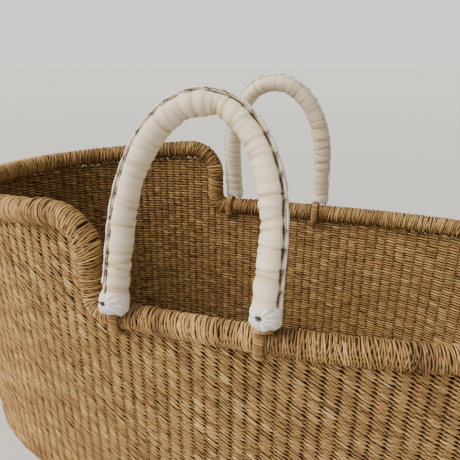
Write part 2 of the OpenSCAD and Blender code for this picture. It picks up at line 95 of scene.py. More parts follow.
class BasketShape(bpy.types.PropertyGroup):
    """Outline of the basket"""
    half_length: length("Half length", "Half of the rim's length at its middle", RIM_HIGH.x - RIM_RADIUS)
    half_width: length("Half width", "Half of the rim's width at its middle", RIM_HIGH.y - RIM_RADIUS)
    plan_power: number("Squareness", "Power of the oval plan, 2 is an ellipse", 2.47)
    rim_z: length("Low rim height", "Height of the low rim's middle", SWING["near"]["pos_m"][2])
    head_rise: length("Head rise", "Height of the head rim over the low rim at the step", 0.100)
    head_fall: number("Head fall", "Slope of the head rim down to the head end", 0.084)
    foot_rise: length("Foot rise", "Rise of the low rim at the foot end", 0.0085)
    step_x: length("Step", "Place of the step along the basket", -0.134)
    upper_bend: length("Upper bend", "Radius of the step's upper bend", 0.042)
    lower_bend: length("Lower bend", "Radius of the step's lower bend", 0.020)
    wall: length("Wall", "Thickness of the woven wall", 0.007)
    taper: length("Taper", "How much the wall comes in on its way down", 0.0025)
    upright: length("Upright", "Height of the wall between the low rim and the lower bend", 0.245)
    base_bend: length("Base bend", "Radius of the bend from wall to base, at the middle of the wall", 0.0315)


class WeaveLook(bpy.types.PropertyGroup):
    """Twined grass of the wall and base"""
    row_pitch: length("Row pitch", "Height from one row of weaving to the next", 0.0046)
    column_pitch: length("Column pitch", "Distance between stakes at the middle of the basket", 0.0138)
    column_growth: number("Column growth", "How much the stakes spread per metre towards the foot", 0.009)
    straw: length("Straw", "Radius of one straw of a strand", 0.00096)
    inner_row: length("Inner row pitch", "Row pitch as seen inside", 0.0044)
    stake: length("Stake", "Radius of the upright stakes", 0.0022)
    pale: colour("Pale straw", "Lightest straw", (0.66, 0.45, 0.205))
    gold: colour("Golden straw", "Commonest straw", (0.52, 0.32, 0.122))
    tan: colour("Tan straw", "Middle straw", (0.385, 0.228, 0.088))
    rust: colour("Pinkish straw", "Reddish straw", (0.34, 0.185, 0.088))
    dark: colour("Dark straw", "Greenish brown straw", (0.14, 0.093, 0.036))


class RimLook(bpy.types.PropertyGroup):
    """Straws wound round the rim"""
    turn_pitch: length("Turn pitch", "Distance between two turns", 0.0026)
    lean: angle("Lean", "How far the turns lean over", 10)
    cross_every: count("Crossing turns", "One turn in this many crosses its neighbours", 9)


class HandleLook(bpy.types.PropertyGroup):
    """Leather-covered handles"""
    span: length("Span", "Distance between the legs", 0.147)
    height: length("Height", "Height of the middle line over the rim", 0.2075)
    radius: length("Radius", "Radius of the covered handle", 0.013)
    straight: length("Straight legs", "Height where the legs turn into the arch", 0.085)
    arch_power: number("Arch power", "Squareness of the arch", 2.06)
    leg_offset: length("Leg offset", "How far the legs stand outside the rim's middle", 0.0169)
    near_lean: angle("Near lean", "Lean of the near handle to the middle", 18)
    far_lean: angle("Far lean", "Lean of the far handle to the middle", 12)
    crease_pitch: length("Crease pitch", "Distance between creases in the leather", 0.0078)
    stitch_pitch: length("Stitch pitch", "Distance between stitches of the seam", 0.019)
    loop_bore: length("Loop bore", "Inner radius of the loops round the rim", 0.0142)
    loop_width: length("Loop width", "Width of the loops", 0.0104)
    leather: colour("Sleeve leather", "Cream leather", (0.80, 0.69, 0.50))
    cap: colour("Cap leather", "White leather", (0.82, 0.775, 0.71))
    thong: colour("Thong", "Dark thong of the knots and stitches", (0.045, 0.030, 0.022))


class StandLook(bpy.types.PropertyGroup):
    """Beech stand"""
    edge: length("Eased edge", "Width of the eased edges", 0.0018)
    wood: colour("Beech", "Oiled beech", (0.62, 0.42, 0.245))
    grain: colour("Grain", "Darker grain of the beech", (0.47, 0.29, 0.15))


class StageLook(bpy.types.PropertyGroup):
    """Floor, lights and camera"""
    floor: colour("Floor", "Colour of the floor", (0.60, 0.585, 0.557))
    camera: FloatVectorProperty(name="Camera", description="Place of the camera", subtype="TRANSLATION",
                                default=(0.1147, -0.5609, 0.8171))
    yaw: angle("Yaw", "Turn of the camera to the left", 16.43)
    pitch: angle("Pitch", "Tilt of the camera down", 19.75)
    roll: angle("Roll", "Roll of the camera", 0.31)
    lens: number("Lens", "Focal length in millimetres", 36.87)


# ---------- pieces ----------

RING_STRAW = 0.1   # radius of a ring template's section, the ring itself being 1
STRAW_GAP = 2.0    # distance of a straw template's straws from its middle, in straw radii


def mesh_of(bm, name):
    """The mesh of a bmesh that is no longer needed."""
    mesh = bpy.data.meshes.new(name)
    bm.to_mesh(mesh)
    bm.free()
    return mesh


def piece(name, bm, material, body, replaces=(), smooth=True):
    """Turns a bmesh into a finished object that rides on a body of the frame."""
    return adopt(name, mesh_of(bm, name), material, body, replaces, smooth)


def adopt(name, mesh, material, body, replaces=(), smooth=True):
    """Finishes a mesh that is already in place."""
    mesh.name = name
    mesh.polygons.foreach_set("use_smooth", [smooth] * len(mesh.polygons))
    mesh.materials.clear()
    mesh.materials.append(material)
    made = bpy.data.objects.new(name, mesh)
    bpy.context.scene.collection.objects.link(made)
    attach(made, body)
    if replaces:
        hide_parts(*replaces)
    return made


def shaped(name, bm, places, material, body, replaces=(), tone=None):
    """Puts a bmesh's vertices in their places and makes the piece."""
    for vert, place in zip(bm.verts, places):
        vert.co = place
    bmesh.ops.recalc_face_normals(bm, faces=bm.faces)
    made = piece(name, bm, material, body, replaces)
    if tone is not None:
        set_tone(made.data, tone)
    return made


def laid(name, mesh, places, tone, material, body, replaces=()):
    """Lays repeated straws in their places, with one row of tones for each of them."""
    places = places.reshape(-1, 3)
    move_vertices(mesh, places)
    set_tone(mesh, np.clip(np.broadcast_to(tone, (len(tone), len(places) // len(tone))), 0, 1))
    return adopt(name, mesh, material, body, replaces)


def thicken(made, thickness, offset):
    solid = made.modifiers.new("thickness", "SOLIDIFY")
    solid.thickness = thickness
    solid.offset = offset


def coordinates(mesh):
    co = np.empty(len(mesh.vertices) * 3)
    mesh.vertices.foreach_get("co", co)
    return co.reshape(-1, 3)


def move_vertices(mesh, co):
    mesh.vertices.foreach_set("co", np.ascontiguousarray(co, float).ravel())
    mesh.update()


def set_tone(mesh, tone):
    """Stores one number a vertex, which the materials turn into a colour: the straw's own tone on grass, painted
    shade of the hollows on leather.
    """
    layer = mesh.attributes.new("tone", "FLOAT", "POINT")
    layer.data.foreach_set("value", np.ascontiguousarray(tone, np.float32).ravel())


def repeated(template, copies):
    """A mesh with many copies of a template, one after the other in vertex order."""
    bm = bmesh.new()
    for _ in range(copies):
        bm.from_mesh(template)
    return mesh_of(bm, "copies")


def straw_template(straws, rings, sides=3):
    """Straws side by side, each one long from x 0 to 1 and one in radius."""
    bm = bmesh.new()
    for i in range(straws):
        made = bmesh.ops.create_cone(bm, cap_ends=True, segments=sides, radius1=1, radius2=1,
                                     depth=1)["verts"]
        bmesh.ops.rotate(bm, verts=made, matrix=Matrix.Rotation(math.pi / 2, 3, "Y"))
        bmesh.ops.translate(bm, verts=made, vec=(0.5, (i - (straws - 1) / 2) * 2 * STRAW_GAP, 0))
    long_edges = [e for e in bm.edges if abs(e.verts[0].co.x - e.verts[1].co.x) > 0.5]
    bmesh.ops.subdivide_edges(bm, edges=long_edges, cuts=rings - 2, use_grid_fill=True)
    return mesh_of(bm, "straw_template")


def ring_template(steps, sides):
    """Ring of straw round the Z axis, made by spinning a small section."""
    bm = bmesh.new()
    section = bmesh.ops.create_circle(bm, segments=sides, radius=RING_STRAW)["verts"]
    bmesh.ops.rotate(bm, verts=section, matrix=Matrix.Rotation(math.pi / 2, 3, "X"))
    bmesh.ops.translate(bm, verts=section, vec=(1, 0, 0))
    bmesh.ops.spin(bm, geom=bm.verts[:] + bm.edges[:], cent=(0, 0, 0), axis=(0, 0, 1),
                   angle=math.tau, steps=steps, use_merge=True)
    bmesh.ops.remove_doubles(bm, verts=bm.verts, dist=RING_STRAW * 0.05)
    bmesh.ops.recalc_face_normals(bm, faces=bm.faces)
    return mesh_of(bm, "ring_template")


def ring_coordinates(template):
    """Angle round a ring template, then the places out of and along its section, from -1 to 1."""
    x, y, z = coordinates(template).T
    return np.arctan2(y, x), (np.hypot(x, y) - 1) / RING_STRAW, z / RING_STRAW


def tube(segments, rings, closed_ends=False):
    """Tube of radius 1 round the Z axis, from z 0 to 1, with many rings, and its vertices' places."""
    bm = bmesh.new()
    bmesh.ops.create_cone(bm, cap_ends=closed_ends, segments=segments, radius1=1, radius2=1, depth=1)
    bmesh.ops.translate(bm, verts=bm.verts, vec=(0, 0, 0.5))
    uprights = [e for e in bm.edges if abs(e.verts[0].co.z - e.verts[1].co.z) > 0.5]
    bmesh.ops.subdivide_edges(bm, edges=uprights, cuts=rings - 2, use_grid_fill=True)
    return bm, np.array([v.co for v in bm.verts])


def extruded(bm, height):
    """Raises a flat outline into a closed slab."""
    raised = bmesh.ops.extrude_face_region(bm, geom=bm.faces[:])["geom"]
    upper = [v for v in raised if isinstance(v, bmesh.types.BMVert)]
    bmesh.ops.translate(bm, verts=upper, vec=(0, 0, height))


def bump_curve(value, centre, width):
    return np.exp(-((value - centre) / width) ** 2)


# ---------- shape of the basket ----------

class Basket:
    """The oval that the wall follows, the rim's middle line, and the way from flat weaving to the wall"""

    def __init__(self, shape):
        self.shape = shape
        turn = np.linspace(math.pi, 3 * math.pi, 2881)
        plan = self.oval(turn, 0.0)
        self.turn = turn
        self.run = np.concatenate([[0], np.cumsum(np.hypot(*np.diff(plan, axis=0).T))])
        self.girth = self.run[-1]
        self.rim_tables()

    def oval(self, turn, grow):
        power = 2 / self.shape.plan_power
        x = (self.shape.half_length + grow) * np.sign(np.cos(turn)) * np.abs(np.cos(turn)) ** power
        y = (self.shape.half_width + grow) * np.sign(np.sin(turn)) * np.abs(np.sin(turn)) ** power
        return np.stack([x, y], -1)

    def oval_y(self, x):
        inside = np.clip(1 - np.abs(x / self.shape.half_length) ** self.shape.plan_power, 0, None)
        return self.shape.half_width * inside ** (1 / self.shape.plan_power)

    def normal(self, x, y):
        power = self.shape.plan_power - 1
        nx = np.sign(x) * np.abs(x / self.shape.half_length) ** power / self.shape.half_length
        ny = np.sign(y) * np.abs(y / self.shape.half_width) ** power / self.shape.half_width
        size = np.hypot(nx, ny)
        return nx / size, ny / size

    def head_z(self, x):
        return self.shape.head_rise + self.shape.head_fall * (x - self.shape.step_x)

    def rim_top(self, x):
        """Height of the rim's middle over the low rim, at x."""
        s = self.shape
        upper_x = s.step_x - s.upper_bend
        lower_x = s.step_x + s.lower_bend
        upper = self.head_z(upper_x) - s.upper_bend + np.sqrt(
            np.clip(s.upper_bend ** 2 - (x - upper_x) ** 2, 0, None))
        lower = s.lower_bend - np.sqrt(np.clip(s.lower_bend ** 2 - (x - lower_x) ** 2, 0, None))
        low = s.foot_rise * (np.clip(x, 0, None) / s.half_length) ** 2
        return np.select([x < upper_x, x < s.step_x, x < lower_x], [self.head_z(x), upper, lower], low)

    def rim_tables(self):
        """Points and directions all along the rim's middle line."""
        s = self.shape
        upper_x = s.step_x - s.upper_bend
        lower_x = s.step_x + s.lower_bend
        head = -s.half_length * np.cos(np.linspace(0, math.acos(-upper_x / s.half_length), 120))
        bend = np.linspace(0, math.pi / 2, 24)
        low = s.half_length * np.sin(np.linspace(math.asin(lower_x / s.half_length), math.pi / 2, 240))[1:]
        x = np.concatenate([head, upper_x + s.upper_bend * np.sin(bend[1:]),
                            lower_x - s.lower_bend * np.cos(bend), low])
        z = np.concatenate([self.head_z(head),
                            self.head_z(upper_x) - s.upper_bend + s.upper_bend * np.cos(bend[1:]),
                            s.lower_bend - s.lower_bend * np.sin(bend), self.rim_top(low)])
        y = self.oval_y(x)
        line = np.concatenate([np.stack([x, -y, z], 1), np.stack([x, y, z], 1)[-2:0:-1]])
        line[:, 2] += s.rim_z
        closed = np.concatenate([line, line[:1]])
        run = np.concatenate([[0], np.cumsum(np.linalg.norm(np.diff(closed, axis=0), axis=1))])
        self.rim_length = run[-1]
        even = np.linspace(0, self.rim_length, 1400, endpoint=False)
        point = np.stack([np.interp(even, run, closed[:, i]) for i in range(3)], 1)
        for _ in range(3):
            point = (np.roll(point, 1, 0) + 2 * point + np.roll(point, -1, 0)) / 4
        along = np.roll(point, -1, 0) - np.roll(point, 1, 0)
        along /= np.linalg.norm(along, axis=1)[:, None]
        nx, ny = self.normal(point[:, 0], point[:, 1])
        out = np.stack([nx, ny, np.zeros_like(nx)], 1)
        out -= along * np.sum(out * along, 1)[:, None]
        out /= np.linalg.norm(out, axis=1)[:, None]
        self.rim_even, self.rim_point, self.rim_out, self.rim_up = even, point, out, np.cross(out, along)

    def on_rim(self, run, across, up):
        """Place of points given along the rim, outwards from its middle, and over it."""
        def look_up(table):
            return np.stack([np.interp(run, self.rim_even, table[:, i], period=self.rim_length)
                             for i in range(3)], -1)
        return look_up(self.rim_point) + across[..., None] * look_up(self.rim_out) \
            + up[..., None] * look_up(self.rim_up)

    def on_wall(self, run, down, out):
        """Place of points given round the oval, down from the low rim, and outwards from mid wall."""
        s = self.shape
        turn = np.interp(run % self.girth, self.run, self.turn)
        bend = np.clip((down - s.upright) / s.base_bend, 0, math.pi / 2)
        flat = np.clip(down - s.upright - s.base_bend * math.pi / 2, 0, None)
        grow = -s.taper * np.clip(down / s.upright, 0, 1) - s.base_bend * (1 - np.cos(bend)) - flat
        height = -np.minimum(down, s.upright) - s.base_bend * np.sin(bend)
        plan = self.oval(turn, grow)
        nx, ny = self.normal(*np.moveaxis(self.oval(turn, 0.0), -1, 0))
        return np.stack([plan[..., 0] + nx * np.cos(bend) * out,
                         plan[..., 1] + ny * np.cos(bend) * out,
                         s.rim_z + height - np.sin(bend) * out], -1)

    def run_x(self, run):
        return np.interp(run % self.girth, self.run, self.oval(self.turn, 0.0)[:, 0])

    def columns(self, pitch, growth):
        """Places of the stakes round the oval: closer at the head, wider at the foot."""
        limit = 0.2
        local = pitch + growth * np.clip(self.oval(self.turn, 0.0)[:, 0], -limit, limit)
        step = np.diff(self.run) * 2 / (local[1:] + local[:-1])
        total = np.concatenate([[0], np.cumsum(step)])
        columns = round(total[-1])
        places = np.interp(np.arange(columns) * total[-1] / columns, total, self.run)
        return places, np.diff(np.append(places, places[0] + self.girth))

    def keep_inside(self, run, down, start):
        """Ends head rows at the step, and every row at the rim's middle."""
        half = len(self.run) // 2
        step_near = np.interp(self.shape.step_x, self.oval(self.turn[:half], 0.0)[:, 0], self.run[:half])
        step_far = self.girth - step_near
        on_head = down < -self.shape.lower_bend
        near_half = start < self.girth / 2
        run = np.where(on_head & near_half, np.minimum(run, step_near), run)
        run = np.where(on_head & ~near_half, np.maximum(run, step_far), run)
        return run, np.maximum(down, -self.rim_top(self.run_x(run)))


# ---------- materials ----------

# Copies of one grass with their colours scaled: the inside, under-turn, shadow and stake copies are darker as
# painted shade.
GRASSES = {  # shade, roughness
    "dry_grass": (1.0, 0.75), "inside_grass": (0.80, 0.75), "bound_grass": (0.88, 0.65),
    "under_turns": (0.62, 0.75), "straw_shadow": (0.16, 0.9), "stake_grass": (0.45, 0.75)}
LEATHERS = {  # colour, painted shade of the hollows, scale of the grain, roughness
    "cream_leather": ("leather", (0.74, 0.66, 0.55), 420, 0.55),
    "white_leather": ("cap", (0.72, 0.70, 0.68), 600, 0.5),
    "dark_thong": ("thong", (0.5, 0.5, 0.5), 700, 0.5)}


def finish(name):
    """The grass or leather of that name, made the first time it is asked for."""
    if name in bpy.data.materials:
        return bpy.data.materials[name]
    scene = bpy.context.scene
    if name in GRASSES:
        return grass(name, scene.bassinet_weave, *GRASSES[name])
    tint, *settings = LEATHERS[name]
    return leather(name, getattr(scene.bassinet_handles, tint), *settings)


def node(nodes, kind, **settings):
    made = nodes.new(kind)
    for key, value in settings.items():
        if key in made.inputs:
            made.inputs[key].default_value = value
        else:
            setattr(made, key, value)
    return made


def darker(tint, factor):
    return tuple(channel * factor for channel in tint)


class Shader:
    """A new material with a Principled shader, and the steps that wire it"""

    def __init__(self, name, roughness=0.6, specular=0.4):
        self.material = bpy.data.materials.new(name)
        self.material.use_nodes = True
        self.nodes, self.links = self.material.node_tree.nodes, self.material.node_tree.links
        self.main = self.nodes["Principled BSDF"]
        self.set("Roughness", roughness)
        self.set("Specular IOR Level", specular)

    def set(self, name, value):
        self.main.inputs[name].default_value = value

    def where(self):
        return self.nodes.new("ShaderNodeTexCoord").outputs["Object"]

    def tone(self):
        return node(self.nodes, "ShaderNodeAttribute", attribute_name="tone").outputs["Fac"]

    def noise(self, scale, detail, stretch=(1, 1, 1)):
        """Noise on object coordinates, stretched along the axes given."""
        mapping = node(self.nodes, "ShaderNodeMapping", Scale=stretch)
        noise = node(self.nodes, "ShaderNodeTexNoise", Scale=scale, Detail=detail)
        self.links.new(self.where(), mapping.inputs["Vector"])
        self.links.new(mapping.outputs["Vector"], noise.inputs["Vector"])
        return noise.outputs["Fac"]

    def ramp(self, factor, *stops):
        """Colour ramp from (place, colour) pairs."""
        made = self.nodes.new("ShaderNodeValToRGB")
        elements = made.color_ramp.elements
        while len(elements) < len(stops):
            elements.new(0.5)
        for element, (place, tint) in zip(elements, stops):
            element.position = place
            element.color = (*tint, 1)
        self.links.new(factor, made.inputs["Fac"])
        return made.outputs["Color"]

    def product(self, first, second):
        mix = node(self.nodes, "ShaderNodeMix", data_type="RGBA", blend_type="MULTIPLY")
        mix.inputs["Factor"].default_value = 1.0
        self.links.new(first, mix.inputs["A"])
        self.links.new(second, mix.inputs["B"])
        return mix.outputs["Result"]

    def finished(self, colour, height=None, strength=0.0, distance=0.0):
        """Links the colour and the bumps, and hands over the material."""
        self.links.new(colour, self.main.inputs["Base Color"])
        if height is not None:
            bump = node(self.nodes, "ShaderNodeBump", Strength=strength, Distance=distance)
            self.links.new(height, bump.inputs["Height"])
            self.links.new(bump.outputs["Normal"], self.main.inputs["Normal"])
        return self.material


def grass(name, look, shade, roughness):
    """Dry grass: each straw takes its own colour from its tone, with small stains over it."""
    made = Shader(name, roughness, 0.12)
    straws = ((0.0, look.dark), (0.22, look.rust), (0.48, look.tan), (0.75, look.gold), (1.0, look.pale))
    palette = made.ramp(made.tone(), *((place, darker(tint, shade)) for place, tint in straws))
    stains = made.ramp(made.noise(160, 3), (0.25, (0.72, 0.70, 0.66)), (0.7, (1.12, 1.1, 1.08)))
    return made.finished(made.product(palette, stains), made.noise(900, 2), 0.35, 0.0004)


def leather(name, tint, hollow_shade, grain_scale, roughness):
    """Thin soft leather: mottled, with a fine grain and painted shade in its hollows."""
    made = Shader(name, roughness, 0.35)
    made.set("Sheen Weight", 0.08)
    mottle = made.ramp(made.noise(55, 6), (0.3, darker(tint, 0.9)), (0.65, tint))
    # Painted shade: the tone darkens the leather towards the hollow colour in creases, folds and seams.
    hollow = made.ramp(made.tone(), (0.0, (1, 1, 1)), (0.45, hollow_shade), (0.72, darker(hollow_shade, 0.10)))
    return made.finished(made.product(mottle, hollow), made.noise(grain_scale, 5), 0.45, 0.0006)


def beech(name, look, stretch):
    """Oiled beech: straight grain along one axis, with short dark flecks."""
    made = Shader(name, 0.42, 0.4)
    grain = made.noise(60, 8, stretch)
    wood = made.ramp(grain, (0.3, look.grain), (0.5, look.wood), (0.75, darker(look.wood, 1.12)))
    fleck = made.noise(130, 2, tuple(3 * value for value in stretch))
    spots = made.ramp(fleck, (0.62, (1, 1, 1)), (0.72, (0.72, 0.62, 0.52)))
    return made.finished(made.product(wood, spots), grain, 0.15, 0.0004)


def cotton(name):
    """Unbleached woven cotton, with a fine thread grid."""
    made = Shader(name, 0.9, 0.2)
    made.set("Sheen Weight", 0.25)
    where = made.where()
    both = node(made.nodes, "ShaderNodeMath", operation="ADD")
    for socket, axis in enumerate("XY"):
        wave = node(made.nodes, "ShaderNodeTexWave", Scale=320, Distortion=0.6, bands_direction=axis)
        made.links.new(where, wave.inputs["Vector"])
        made.links.new(wave.outputs["Fac"], both.inputs[socket])
    tint = made.ramp(made.noise(30, 4), (0.3, (0.47, 0.41, 0.32)), (0.7, (0.56, 0.50, 0.40)))
    return made.finished(tint, both.outputs["Value"], 0.25, 0.0003)


def plain(name, low, high, scale, roughness, metallic=0.0):
    """Metal or rubber with a faint unevenness."""
    made = Shader(name, roughness)
    made.set("Metallic", metallic)
    noise = made.noise(scale, 5)
    return made.finished(made.ramp(noise, (0.3, low), (0.7, high)), noise, 0.15, 0.0003)


# ---------- weaving ----------

def woven_cells(basket, look, row_pitch, first, last):
    """Start, width and height of every strand between two rows, with none above the rim."""
    columns, pitches = basket.columns(look.column_pitch, look.column_growth)
    row, column = np.meshgrid(np.arange(first, last), np.arange(len(columns)), indexing="ij")
    start, pitch = columns[column].ravel(), pitches[column].ravel()
    down = (row * row_pitch).ravel()
    middle_x = basket.run_x(start + pitch / 2)
    under_rim = down + row_pitch > RIM_RADIUS * 0.6 - basket.rim_top(middle_x)
    return start[under_rim], pitch[under_rim], down[under_rim]


def straw_tones(rng, total, middle=0.58, spread=0.27):
    """A tone for each straw, round a middle one, with a few of any colour."""
    tone = rng.normal(middle, spread, total)
    odd = rng.random(total) < 0.06
    tone[odd] = rng.uniform(0, 1, odd.sum())
    return np.clip(tone, 0, 1)


class Weave:
    """A face of the wall: one strand for each stake and row, in pieces that go round the basket"""

    def build(self, scene):
        look, basket = scene.bassinet_weave, Basket(scene.bassinet_basket)
        shape, row_pitch = basket.shape, getattr(look, self.row)
        bottom = shape.upright + shape.base_bend * self.bend
        start, pitch, down = woven_cells(basket, look, row_pitch, -int(shape.head_rise / row_pitch),
                                         int(bottom / row_pitch) + self.extra_rows)
        part = np.clip((start / basket.girth * len(self.parts)).astype(int), 0, len(self.parts) - 1)
        rng = np.random.default_rng(self.seed)
        template = straw_template(self.straws, 6, self.sides)
        for index, name in enumerate(self.parts):
            chosen = part == index
            self.weave(basket, look, template, start[chosen][:, None], pitch[chosen][:, None],
                       down[chosen][:, None], rng, name)


class BASSINET_OT_outer_weave(Weave, bpy.types.Operator):
    """Twine the outside of the wall: pairs of straws that run over each stake and down to the next"""
    bl_idname = "bassinet.outer_weave"
    bl_label = "Outer Weave"
    row, bend, extra_rows, seed, straws, sides = "row_pitch", math.pi / 2, 1, 11, 2, 3
    parts = ("head_near", "middle_near", "foot_near", "foot_far", "middle_far", "head_far")

    def execute(self, context):
        self.build(context.scene)
        return {"FINISHED"}

    def weave(self, basket, look, template, start, pitch, down, rng, name):
        flat = coordinates(template)
        cells = len(start)
        draw = lambda spread: rng.normal(0, spread, (cells, 1))
        side = np.sign(flat[:, 1])
        local_y, local_z = flat[:, 1] - STRAW_GAP * side, flat[:, 2]
        lap_before, laps = 2.2 * MM, 5.4 * MM
        x = (-lap_before + flat[:, 0] * (pitch + laps)) + draw(0.3 * MM)
        beat = 2 * math.pi * (x - 6.8 * MM) / pitch
        z = -1.8 * look.row_pitch * x / pitch - 0.40 * MM * np.sin(beat)
        depth = 0.5 * MM - 2.9 * MM * np.abs((x - 8 * MM) / (11 * MM)) ** 3
        depth = depth + 0.7 * MM * bump_curve(x, 2.4 * MM, 2.2 * MM) + draw(0.22 * MM)
        between = np.exp(-np.abs((x - 0.53 * pitch) / (0.34 * pitch)) ** 4)
        apart = (1.00 * MM * between + 0.16 * MM) * (1 + draw(0.10))
        thick = look.straw * (0.52 + 0.54 * between) * (1 + draw(0.10))
        tilt = draw(0.025)
        z = z + side * apart + local_y * thick + tilt * (x - pitch / 2) + draw(0.16 * MM)
        lift = side * draw(0.35 * MM)
        run, downs = basket.keep_inside(start + x, down - z, start)
        out = basket.shape.wall / 2 - 1.0 * MM + depth + lift + local_z * thick * 0.8
        patch = 0.05 * np.sin(37 * start + 90 * down) + 0.05 * np.sin(83 * start - 61 * down)
        tone = straw_tones(rng, cells, 0.60, 0.15)[:, None] + patch + side * draw(0.08)
        laid(f"outer_weave_{name}", repeated(template, cells), basket.on_wall(run, downs, out), tone,
             finish("dry_grass"), "basket", ("side_wall",) if name == self.parts[0] else ())


class BASSINET_OT_inner_weave(Weave, bpy.types.Operator):
    """Weave the inside of the wall: short strokes that lie nearly level between the stakes"""
    bl_idname = "bassinet.inner_weave"
    bl_label = "Inner Weave"
    row, bend, extra_rows, seed, straws, sides = "inner_row", 1.4, 0, 12, 1, 4
    parts = ("head_near", "foot_near", "foot_far", "head_far")

    def execute(self, context):
        self.build(context.scene)
        return {"FINISHED"}

    def weave(self, basket, look, template, start, pitch, down, rng, name):
        share, local_y, local_z = coordinates(template).T
        cells = len(start)
        draw = lambda spread: rng.normal(0, spread, (cells, 1))
        x = (share * 1.20 - 0.10) * pitch + draw(0.5 * MM)
        drop = 0.45 * look.inner_row * (0.5 - share) + draw(0.2 * MM)
        bow = np.clip(np.sin(math.pi * share), 0, 1) ** 0.8
        height = (1.00 + 0.82 * bow) * MM * (1 + draw(0.12))
        depth = (-2.5 + 2.7 * bow) * MM + draw(0.3 * MM)
        run, downs = basket.keep_inside(start + x, down + drop + local_y * height, start)
        out = -(basket.shape.wall / 2 - 1.0 * MM + depth) + local_z * 0.9 * MM
        # The inside grass is a darker copy of the outside grass: painted shade inside the basket.
        laid(f"inner_weave_{name}", repeated(template, cells), basket.on_wall(run, downs, out),
             straw_tones(rng, cells, 0.58, 0.16)[:, None], finish("inside_grass"), "basket")


class BASSINET_OT_wall_body(bpy.types.Operator):
    """Fill the wall: a felt of straw between the two faces, painted dark as the shade seen through the weave's
    holes, and the stakes that reach the rim, painted darker as the shade under the strands
    """
    bl_idname = "bassinet.wall_body"
    bl_label = "Wall Body"

    def execute(self, context):
        scene = context.scene
        look, basket = scene.bassinet_weave, Basket(scene.bassinet_basket)
        bottom = basket.shape.upright + basket.shape.base_bend * math.pi / 2
        self.backing(basket, bottom + 4 * MM)
        self.stakes(look, basket, bottom)
        return {"FINISHED"}

    def backing(self, basket, bottom):
        bm, flat = tube(288, 50)
        run = (np.arctan2(flat[:, 1], flat[:, 0]) / math.tau % 1) * basket.girth
        top = RIM_RADIUS + 2.5 * MM - basket.rim_top(basket.run_x(run))
        down = top + (bottom - top) * (1 - flat[:, 2])
        # The felt's near-black straw_shadow colour is painted shade: it darkens what shows through the holes of
        # the weave.
        made = shaped("wall_felt", bm, basket.on_wall(run, down, np.zeros_like(run)),
                      finish("straw_shadow"), "basket")
        thicken(made, 1.6 * MM, 0)

    def stakes(self, look, basket, bottom):
        columns, _ = basket.columns(look.column_pitch, look.column_growth)
        run = columns + 3.4 * MM
        template = straw_template(1, 16, sides=6)
        share, local_y, local_z = coordinates(template).T
        top = (-basket.rim_top(basket.run_x(run)) + 0.3 * RIM_RADIUS)[:, None]
        down = top + share * (bottom - top)
        across = run[:, None] + local_y * look.stake
        out = local_z * look.stake - 0.5 * MM + 0 * down
        tone = np.random.default_rng(13).uniform(0.2, 0.7, len(run))
        # The stakes take a darker copy of the grass: painted shade, as they lie under the strands.
        laid("stakes", repeated(template, len(run)), basket.on_wall(across, down, out), tone[:, None],
             finish("stake_grass"), "basket")


class BASSINET_OT_woven_base(bpy.types.Operator):
    """Weave the base in rings that close on a middle line"""
    bl_idname = "bassinet.woven_base"
    bl_label = "Woven Base"

    def execute(self, context):
        scene = context.scene
        basket = Basket(scene.bassinet_basket)
        shape = basket.shape
        rng = np.random.default_rng(14)
        ring_pitch, stroke = 5.6 * MM, 21 * MM
        edge = shape.upright + shape.base_bend * math.pi / 2
        runs, downs, spans = [], [], []
        for ring in range(int((shape.half_width - shape.base_bend - 6 * MM) / ring_pitch)):
            plan = basket.oval(basket.turn, -shape.base_bend - shape.taper - ring * ring_pitch)
            sides = np.hypot(*np.diff(plan, axis=0).T)
            girth = sides.sum()
            strokes = max(6, round(girth / stroke))
            own_run = np.concatenate([[0], np.cumsum(sides)])
            marks = (np.arange(strokes + 1) + rng.random()) * girth / strokes
            on_oval = np.interp(marks % girth, own_run, basket.run)
            runs.append(on_oval[:-1])
            spans.append((on_oval[1:] - on_oval[:-1]) % basket.girth)
            downs.append(np.full(strokes, edge + ring * ring_pitch))
        run, down, span = (np.concatenate(values)[:, None] for values in (runs, downs, spans))
        template = straw_template(1, 6, sides=5)
        share, local_y, local_z = coordinates(template).T
        along = run + span * (share * 1.2 - 0.1)
        across = down + local_y * 2.4 * MM + rng.normal(0, 0.3 * MM, run.shape)
        out = (0.2 + 1.7 * np.sin(math.pi * share)) * MM + local_z * 1.2 * MM
        laid("woven_base", repeated(template, len(run)), basket.on_wall(along, across, out + 0 * run),
             straw_tones(rng, len(run))[:, None], finish("dry_grass"), "basket",
             ("base_panel",))
        self.felt(basket, edge - 3 * MM)
        return {"FINISHED"}

    def felt(self, basket, edge):
        bm = bmesh.new()
        bmesh.ops.create_circle(bm, cap_ends=True, segments=96, radius=1)
        for vert in bm.verts:
            run = (math.atan2(vert.co.y, vert.co.x) / math.tau % 1) * basket.girth
            vert.co = basket.on_wall(np.array(run), np.array(edge), np.array(-0.6 * MM))
        extruded(bm, 2.4 * MM)
        bmesh.ops.recalc_face_normals(bm, faces=bm.faces)
        # The base felt's near-black colour is painted shade under the base's strokes.
        piece("base_felt", bm, finish("straw_shadow"), "basket")


